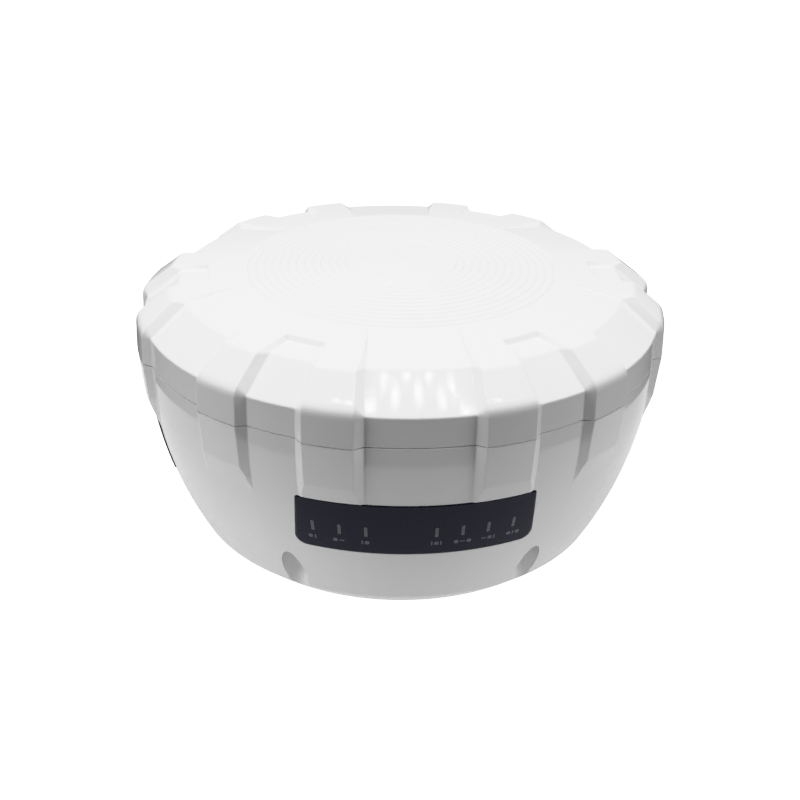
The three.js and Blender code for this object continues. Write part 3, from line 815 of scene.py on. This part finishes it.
def make_base_plate():
    inner = INSERT_R + GAP
    profile = [(inner + 0.4, 0), (PLATE_R - 0.6, 0), (PLATE_R, 0.6)]
    profile += [(PLATE_R, PLATE_T), (inner, PLATE_T), (inner, 0.4)]
    plate = turned("plate", profile, 128)
    for k in range(4):
        cut(plate, post(PLATE_HOLE_R, -1, PLATE_T + 1, PLATE_PITCH, 45 + 90 * k, 32))
        cut(plate, post(PLATE_SINK[0], -1, PLATE_SINK[1], PLATE_PITCH, 45 + 90 * k, 40))
    return plate


def thread_wave(r, z, angle):
    """A thread's groove in the bore of the pole insert, a helix, fading at the bore's two ends."""
    low, high = THREAD_Z
    if r > THREAD_R + 0.01 or not low < z < high:
        return 0
    phase = (z / THREAD_PITCH - angle / 360) % 1
    return THREAD_HEIGHT * max(0, 1 - abs(2 * phase - 1) * 1.15) * min(1, (z - low) / 2, (high - z) / 2)


def make_pole_insert():
    low, high = THREAD_Z
    bore = [(THREAD_R, low + (high - low) * k / THREAD_ROWS) for k in range(THREAD_ROWS + 1)]
    profile = [(0, 24), (10, 24), (10, FLOOR_Z + 3), (18, FLOOR_Z + 3)]
    profile += [(18, FLOOR_Z + GAP), (INSERT_R, FLOOR_Z + GAP)]
    profile += [(INSERT_R, 0.4), (INSERT_R - 0.4, 0), (THREAD_R + 1, 0), *bore, (THREAD_R, 21), (0, 21)]
    return turned("insert", profile, 72, thread_wave)


def make_plate_screw(azimuth):
    profile = [(0, 8), (1.6, 8), (1.6, 2.1), (3.1, 2.1), (3.1, 0.7), (2.8, 0.3), (0, 0.3)]
    screw = turned("screw", profile, 40)
    cut(screw, turned("socket", [(0, 1.5), (1.35, 1.5), (1.35, -1), (0, -1)], 6))
    return place(screw, azimuth, PLATE_PITCH)


def make_socket(name, core):
    """A socket's round shell with its core in the middle, standing in its well."""
    profile = [*core, (4.7, 8.6), (4.7, 3.2), (4.9, 3), (5.6, 3), (5.8, 3.2)]
    profile += [(5.8, 10.7), (3, 10.7), (3, 17), (0, 17)]
    return turned(name, profile, 48)


def make_data_port():
    socket = make_socket("socket", [(0, 5), (2.8, 5), (3, 5.2), (3, 8.6)])
    for k in range(5):
        cut(socket, post(0.42, 4, 7.5, 1.8, 72 * k, 12))
    return place(socket, SOCKET_AZIMUTHS["data_port"], SOCKET_PITCH)


def make_radio_port():
    core = [(0, 3.8), (0.6, 3.8), (0.8, 4), (0.8, 8.6)]
    socket = make_socket("socket", core)
    for z in (3.9, 5.1, 6.3, 7.5):
        ring = [(5.7, z - 0.3), (6.05, z), (5.7, z + 0.3), (5.2, z)]
        join(socket, turned("ring", ring, 48))
    return place(socket, SOCKET_AZIMUTHS["radio_port"], SOCKET_PITCH)


def cap_ribs(r, z, angle):
    """Gripping ribs on the upright side of a cap."""
    if r <= CAP_SIDE_R or z <= 2:
        return 0
    return CAP_RIB_DEPTH * math.cos(math.radians(CAP_RIBS * angle)) - CAP_RIB_DEPTH


def make_socket_cap(azimuth):
    """A rubber cap with gripping ribs, a raised rim and a tab across its face."""
    sides = [(7.6, 2.2 + 0.9 * k) for k in range(8)]
    profile = [(0, 1.9), (5.4, 1.9), (5.9, 1.2), (6.9, 1.2), (7.35, 1.5), *sides]
    profile += [(7.4, 9.4), (6.1, 9.4), (6.1, 2.9), (0, 2.9)]
    cap = turned("cap", profile, 144, cap_ribs)
    join(cap, block((-5.2, 5.2), (-0.7, 0.7), (1.25, 2.2), 0.2))
    return place(cap, azimuth, SOCKET_PITCH)


adopt(make_base_plate(), "foot_plate", "receiver", "alloy", "base_plate")
adopt(make_pole_insert(), "threaded_insert", "receiver", "brass", "pole_insert")
for k in range(4):
    adopt(make_plate_screw(45 + 90 * k), f"foot_screw_{k + 1}", "receiver", "steel", f"plate_screw_{k + 1}")
adopt(make_data_port(), "data_socket", "receiver", "steel", "data_port")
adopt(make_radio_port(), "radio_socket", "receiver", "brass", "radio_port")
for kind in ("data", "radio"):
    cap = make_socket_cap(SOCKET_AZIMUTHS[kind + "_port"])
    adopt(cap, kind + "_socket_cap", kind + "_cap", "black_rubber", kind + "_port_cap")

# ------------------------------------------------------------------ materials
def new_material(name):
    material = bpy.data.materials.new(name)
    material.use_nodes = True
    tree = material.node_tree
    return material, tree, tree.nodes["Principled BSDF"]


def noise(tree, scale, detail=3, stretch=None):
    """A noise over the object, stretched along an axis by scaling its place."""
    coordinates = tree.nodes.new("ShaderNodeTexCoord").outputs["Object"]
    if stretch:
        mapping = tree.nodes.new("ShaderNodeMapping")
        mapping.inputs["Scale"].default_value = stretch
        tree.links.new(coordinates, mapping.inputs["Vector"])
        coordinates = mapping.outputs["Vector"]
    texture = tree.nodes.new("ShaderNodeTexNoise")
    texture.inputs["Scale"].default_value = scale
    texture.inputs["Detail"].default_value = detail
    tree.links.new(coordinates, texture.inputs["Vector"])
    return texture.outputs["Fac"]


def ramp(tree, value, low, high, start=0.2, end=0.8):
    """The value spread between two colours or two greys."""
    node = tree.nodes.new("ShaderNodeValToRGB")
    node.color_ramp.elements[0].position = start
    node.color_ramp.elements[1].position = end
    for element, colour in zip(node.color_ramp.elements, (low, high)):
        element.color = (*colour, 1) if isinstance(colour, tuple) else (colour, colour, colour, 1)
    tree.links.new(value, node.inputs["Fac"])
    return node.outputs["Color"]


def bump(tree, shader, height, distance):
    node = tree.nodes.new("ShaderNodeBump")
    node.inputs["Distance"].default_value = distance
    tree.links.new(height, node.inputs["Height"])
    tree.links.new(node.outputs["Normal"], shader.inputs["Normal"])


WORN_PLASTIC = (0.6, 0.72)  # how sharply the surface bends where the wear starts and where it is full
WORN_METAL = (0.58, 0.7)


def worn_edges(tree, colour, worn, start, end):
    """The colour, lighter where the surface bends outwards and hands rub it."""
    pointiness = tree.nodes.new("ShaderNodeNewGeometry").outputs["Pointiness"]
    mix = tree.nodes.new("ShaderNodeMix")
    mix.data_type = "RGBA"
    tree.links.new(ramp(tree, pointiness, 0.0, 1.0, start, end), mix.inputs["Factor"])
    tree.links.new(colour, mix.inputs["A"])
    mix.inputs["B"].default_value = (*worn, 1)
    return mix.outputs["Result"]


def plastic(name, colour, shade, roughness, spread, grain, depth, worn=None, specular=0.5):
    """Moulded plastic or rubber: a faint cloud in the colour and gloss, a fine grain, and rubbed edges."""
    material, tree, shader = new_material(name)
    shader.inputs["Specular IOR Level"].default_value = specular
    base = ramp(tree, noise(tree, 14), tuple(c * shade for c in colour), colour)
    if worn:
        base = worn_edges(tree, base, worn, *WORN_PLASTIC)
    tree.links.new(base, shader.inputs["Base Color"])
    patches = noise(tree, 60, 5)
    tree.links.new(ramp(tree, patches, roughness - spread, roughness + spread), shader.inputs["Roughness"])
    bump(tree, shader, noise(tree, grain, 2), depth)
    return material


def metal(name, colour, roughness, grain, stretch, depth):
    """Machined metal: brush marks in one direction, a stained colour and bright edges."""
    material, tree, shader = new_material(name)
    shader.inputs["Metallic"].default_value = 1
    base = ramp(tree, noise(tree, 40, 5), tuple(0.82 * c for c in colour), colour)
    bright = tuple(min(1, 1.12 * c) for c in colour)
    tree.links.new(worn_edges(tree, base, bright, *WORN_METAL), shader.inputs["Base Color"])
    marks = noise(tree, grain, 4, stretch)
    tree.links.new(ramp(tree, marks, roughness - 0.08, roughness + 0.1), shader.inputs["Roughness"])
    bump(tree, shader, marks, depth)
    return material


def circuit_board():
    """Green lacquer over copper tracks."""
    material, tree, shader = new_material("circuit_board")
    brick = tree.nodes.new("ShaderNodeTexBrick")
    brick.inputs["Scale"].default_value = 160
    brick.inputs["Mortar Size"].default_value = 0.03
    brick.inputs["Color1"].default_value = (0.008, 0.075, 0.03, 1)
    brick.inputs["Color2"].default_value = (0.01, 0.09, 0.035, 1)
    brick.inputs["Mortar"].default_value = (0.03, 0.16, 0.06, 1)
    tree.links.new(tree.nodes.new("ShaderNodeTexCoord").outputs["Object"], brick.inputs["Vector"])
    tree.links.new(brick.outputs["Color"], shader.inputs["Base Color"])
    tree.links.new(ramp(tree, noise(tree, 90), 0.3, 0.45), shader.inputs["Roughness"])
    bump(tree, shader, brick.outputs["Fac"], 0.00003)
    return material


NAVY = (0.0085, 0.0105, 0.026)
NAVY_WORN = (0.02, 0.023, 0.045)
RUBBER = (0.018, 0.018, 0.019)
BLACK = (0.014, 0.014, 0.015)
BLACK_WORN = (0.04, 0.04, 0.042)
ROUND = (1, 1, 1)
LENGTHWAYS = (1, 1, 14)
LOOKS = {
    "white_plastic": plastic("white_plastic", (0.8, 0.8, 0.8), 0.985, 0.07, 0.02, 1800, 4e-6),
    "navy_panel": plastic("navy_panel", NAVY, 0.9, 0.26, 0.05, 2400, 6e-6, NAVY_WORN, 0.15),
    "led_lens": plastic("led_lens", (0.085, 0.085, 0.105), 0.9, 0.3, 0.05, 2400, 4e-6),
    "black_rubber": plastic("black_rubber", RUBBER, 0.8, 0.72, 0.08, 1500, 3e-5, BLACK_WORN),
    "black_plastic": plastic("black_plastic", BLACK, 0.85, 0.42, 0.08, 1700, 2.5e-5, BLACK_WORN),
    "ceramic": plastic("ceramic", (0.62, 0.58, 0.5), 0.94, 0.5, 0.08, 900, 2e-5),
    "steel": metal("steel", (0.55, 0.56, 0.58), 0.3, 300, LENGTHWAYS, 4e-6),
    "alloy": metal("alloy", (0.5, 0.51, 0.53), 0.38, 500, ROUND, 8e-6),
    "brass": metal("brass", (0.72, 0.5, 0.2), 0.28, 300, LENGTHWAYS, 4e-6),
    "gold_contacts": metal("gold_contacts", (0.85, 0.6, 0.25), 0.25, 300, LENGTHWAYS, 3e-6),
    "circuit_board": circuit_board(),
}
NODE_SLOTS = {
    "rim_seal": "black_rubber",
    "battery_door_seal": "black_rubber",
    "port_door_seal": "black_rubber",
    "main_board": "circuit_board",
    "led_flex": "gold_contacts",
    "battery_contacts": "gold_contacts",
    "ground_plane": "alloy",
    "antenna_element": "ceramic",
}
for piece, slot in PIECES.values():
    piece.data.materials.clear()
    piece.data.materials.append(LOOKS[slot])
    piece.modifiers.new("normals", "WEIGHTED_NORMAL").keep_sharp = True
for name, node in NODES.items():
    spacer = name.startswith("antenna_spacer")
    node.data.materials.clear()
    node.data.materials.append(LOOKS[NODE_SLOTS.get(name, "brass" if spacer else "steel")])


# ------------------------------------------------------------------ studio
def area_light(name, place, target, size, power, spread=math.pi):
    data = bpy.data.lights.new(name, "AREA")
    data.shape = "RECTANGLE"
    data.size, data.size_y = size
    data.energy, data.spread = power, spread
    light = bpy.data.objects.new(name, data)
    direction = Vector(target) - Vector(place)
    light.matrix_world = Matrix.Translation(place) @ direction.to_track_quat("-Z", "Y").to_matrix().to_4x4()
    bpy.context.scene.collection.objects.link(light)
    return light


PAPER_WHITE = 3.0  # the paper and the table as the camera sees them
FLOOR_DROP = 0.2  # just under the foot
FLOOR_R = 190
FLOOR_GLOW = 0.53  # what the light table under the object sends up
SKY = 0.02  # what the room sends onto the object


def seen_or_sent(tree, sent):
    """A strength that is white paper to the camera, and something weaker to everything else."""
    path = tree.nodes.new("ShaderNodeLightPath")
    strength = tree.nodes.new("ShaderNodeMapRange")
    strength.inputs["To Min"].default_value = sent
    strength.inputs["To Max"].default_value = PAPER_WHITE
    tree.links.new(path.outputs["Is Camera Ray"], strength.inputs["Value"])
    return strength.outputs["Result"]


def add_floor():
    """A pale round light table."""
    ring = [polar(FLOOR_R, 5 * k, -FLOOR_DROP) for k in range(72)]
    floor = make_object("floor", [*ring, (0, 0, -FLOOR_DROP)], [(k, (k + 1) % 72, 72) for k in range(72)])
    material, tree, shader = new_material("floor_paper")
    shader.inputs["Base Color"].default_value = (0.25, 0.25, 0.25, 1)
    shader.inputs["Roughness"].default_value = 0.9
    shader.inputs["Emission Color"].default_value = (1, 1, 1, 1)
    tree.links.new(seen_or_sent(tree, FLOOR_GLOW), shader.inputs["Emission Strength"])
    # The table is clear from below, to show the underside.
    clear = tree.nodes.new("ShaderNodeBsdfTransparent")
    mix = tree.nodes.new("ShaderNodeMixShader")
    tree.links.new(tree.nodes.new("ShaderNodeNewGeometry").outputs["Backfacing"], mix.inputs["Fac"])
    tree.links.new(shader.outputs["BSDF"], mix.inputs[1])
    tree.links.new(clear.outputs["BSDF"], mix.inputs[2])
    tree.links.new(mix.outputs["Shader"], tree.nodes["Material Output"].inputs["Surface"])
    floor.data.materials.append(material)


def add_world():
    world = bpy.data.worlds.new("studio")
    world.use_nodes = True
    tree = world.node_tree
    background = tree.nodes["Background"]
    background.inputs["Color"].default_value = (1, 1, 1, 1)
    tree.links.new(seen_or_sent(tree, SKY), background.inputs["Strength"])
    bpy.context.scene.world = world


def side_light(name, azimuth, power):
    x, y, z = polar(1.1, azimuth, 0.55)
    light = area_light(name, (x, y, z), (0, 0, 0.06), (0.5, 0.3), power)
    light.visible_glossy = False


LAMP_PITCH = 0.109
LAMP_ROWS = ((0.07, -0.29), (0.1245, -0.264))  # the middle of each row of ceiling lamps
LAMPS_EACH_WAY = 4


def add_lights():
    key = area_light("key", (-0.05, 0.12, 1.0), (0, 0, 0.08), (0.5, 0.4), 13)
    key.visible_glossy = False
    side_light("left", -74, 6.4)
    side_light("right", 72, 5.6)
    for row, (middle, y) in enumerate(LAMP_ROWS):
        for k in range(-LAMPS_EACH_WAY, LAMPS_EACH_WAY + 1):
            x = middle + k * LAMP_PITCH
            area_light(f"lamp_{row}_{k + LAMPS_EACH_WAY}", (x, y, 1.0), (x, y, 0), (0.034, 0.014), 0.06)


TONES = ((0, 0), (0.35, 0.7), (0.42, 0.79), (0.5, 0.835), (0.65, 0.895), (1, 1))
TONE_WHITE = 2.0  # the light that TONES counts as 1 on its first axis


def set_tones():
    """A film's shoulder: light is kept up to 0.7, and what is brighter is drawn together."""
    view = bpy.context.scene.view_settings
    view.view_transform = "Standard"
    view.use_curve_mapping = True
    mapping = view.curve_mapping
    mapping.white_level = (TONE_WHITE,) * 3
    points = mapping.curves[3].points
    points[0].location, points[1].location = TONES[0], TONES[-1]
    for place in TONES[1:-1]:
        points.new(*place)
    for point in points:
        point.handle_type = "VECTOR"
    mapping.update()


add_floor()
add_world()
add_lights()
set_tones()
